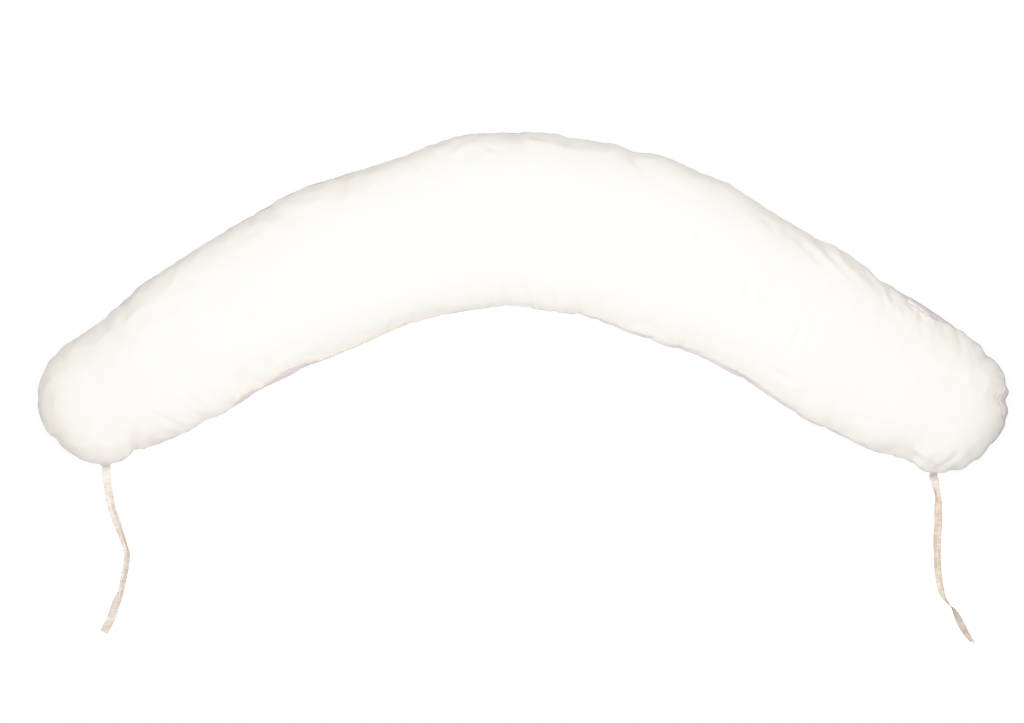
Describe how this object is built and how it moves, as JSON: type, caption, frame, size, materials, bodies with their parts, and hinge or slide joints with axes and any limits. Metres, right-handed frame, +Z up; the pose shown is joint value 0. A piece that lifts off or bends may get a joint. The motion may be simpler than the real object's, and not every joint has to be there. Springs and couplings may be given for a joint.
{
  "type": "crescent body pillow with two tape ties",
  "caption": "Long crescent body pillow of plain cotton, filled, lying on its back, with a woven tape tie sewn into the seam at each end.",
  "frame": {"origin": "middle of the footprint of the pillow and its ties, on the surface that they lie on", "axes": "+X along the pillow from its left to its right end, +Y towards the long outer edge, +Z up, away from the surface"},
  "size_m": [1.6484, 0.885, 0.1789],
  "materials": {
    "cover": "plain woven ivory cotton, matt",
    "tape": "ecru ribbed cotton tape, matt"
  },
  "bodies": {
    "root": {"pillow": "cover", "tie_left": "tape", "tie_right": "tape"}
  },
  "joints": []
}
